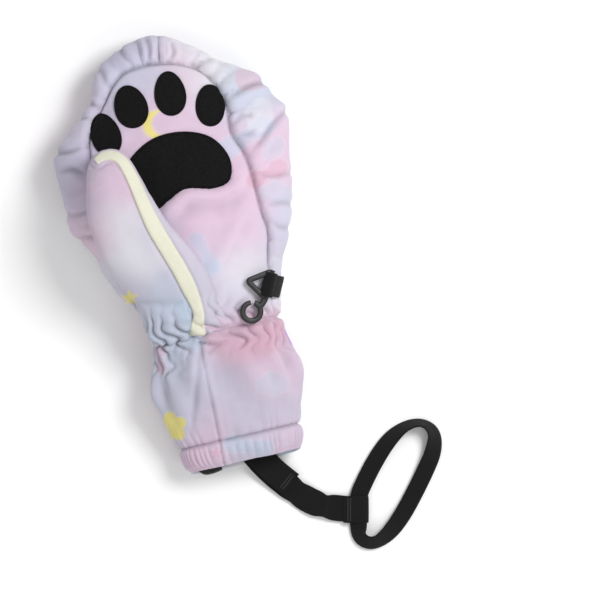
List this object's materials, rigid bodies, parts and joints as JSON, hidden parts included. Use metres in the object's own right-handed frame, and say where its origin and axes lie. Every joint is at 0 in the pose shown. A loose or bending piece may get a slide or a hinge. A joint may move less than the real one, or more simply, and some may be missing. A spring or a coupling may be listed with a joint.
{
  "type": "ski mitten",
  "caption": "Child's insulated ski mitten with palm grip pads, a folded-over thumb, wrist strap, pairing clip and leash loop.",
  "frame": {"origin": "centre of the mitten's footprint, on the surface that it lies on, without the leash", "axes": "+Y from the cuff's mouth to the fingertips, +Z out of the palm, thumb on the -X side"},
  "size_m": [0.1805, 0.3125, 0.0677],
  "materials": {
    "shell_fabric": "printed matt woven shell",
    "cream_fabric": "plain woven binding",
    "lining_black": "brushed tricot",
    "insulation_white": "polyester wadding",
    "insert_film": "thin waterproof film",
    "grip_leather": "grained synthetic leather",
    "webbing_black": "ribbed webbing",
    "elastic_black": "woven elastic",
    "loop_lilac": "hook-and-loop pile",
    "hook_grey": "hook tape",
    "reflective_grey": "retroreflective transfer",
    "clip_black": "moulded acetal"
  },
  "bodies": {
    "mitten": {"palm_panel": "shell_fabric", "back_panel": "shell_fabric", "cuff_shell": "shell_fabric", "hem_tunnel": "shell_fabric", "hem_elastic": "elastic_black", "cuff_lining": "lining_black", "waterproof_insert": "insert_film", "wrist_elastic": "elastic_black", "insulation": "insulation_white", "hand_lining": "lining_black", "thumb_base": "shell_fabric", "thumb_base_insulation": "insulation_white", "thumb_base_lining": "lining_black", "toe_grip_pad_1": "grip_leather", "toe_grip_pad_2": "grip_leather", "toe_grip_pad_3": "grip_leather", "toe_grip_pad_4": "grip_leather", "palm_grip_pad": "grip_leather", "reflective_emblem": "reflective_grey", "loop_patch": "loop_lilac", "strap_anchor": "shell_fabric", "clip_webbing": "webbing_black", "leash_fold": "webbing_black", "leash_webbing": "webbing_black", "wrist_loop": "webbing_black", "leash_anchor": "webbing_black"},
    "thumb": {"thumb_insulation": "insulation_white", "thumb_lining": "lining_black", "thumb_outer_panel": "shell_fabric", "thumb_gusset_strip": "cream_fabric", "thumb_inner_panel": "shell_fabric"},
    "strap": {"strap_tab": "shell_fabric", "strap_binding": "cream_fabric", "strap_hook_patch": "hook_grey"},
    "clip": {"pairing_clip": "clip_black"}
  },
  "joints": [
    {"name": "thumb_lift", "type": "hinge", "parent": "mitten", "child": "thumb", "pos_m": [-0.022, -0.026, 0.034], "axis": [1, 0, 0], "range_deg": [0, 35]},
    {"name": "strap_open", "type": "hinge", "parent": "mitten", "child": "strap", "pos_m": [-0.03, -0.065, 0.0082], "axis": [0, 1, 0], "range_deg": [0, 110]},
    {"name": "clip_swing", "type": "hinge", "parent": "mitten", "child": "clip", "pos_m": [0.0357, -0.0284, 0.0426], "axis": [0.448, 0.894, 0], "range_deg": [0, 120]}
  ]
}
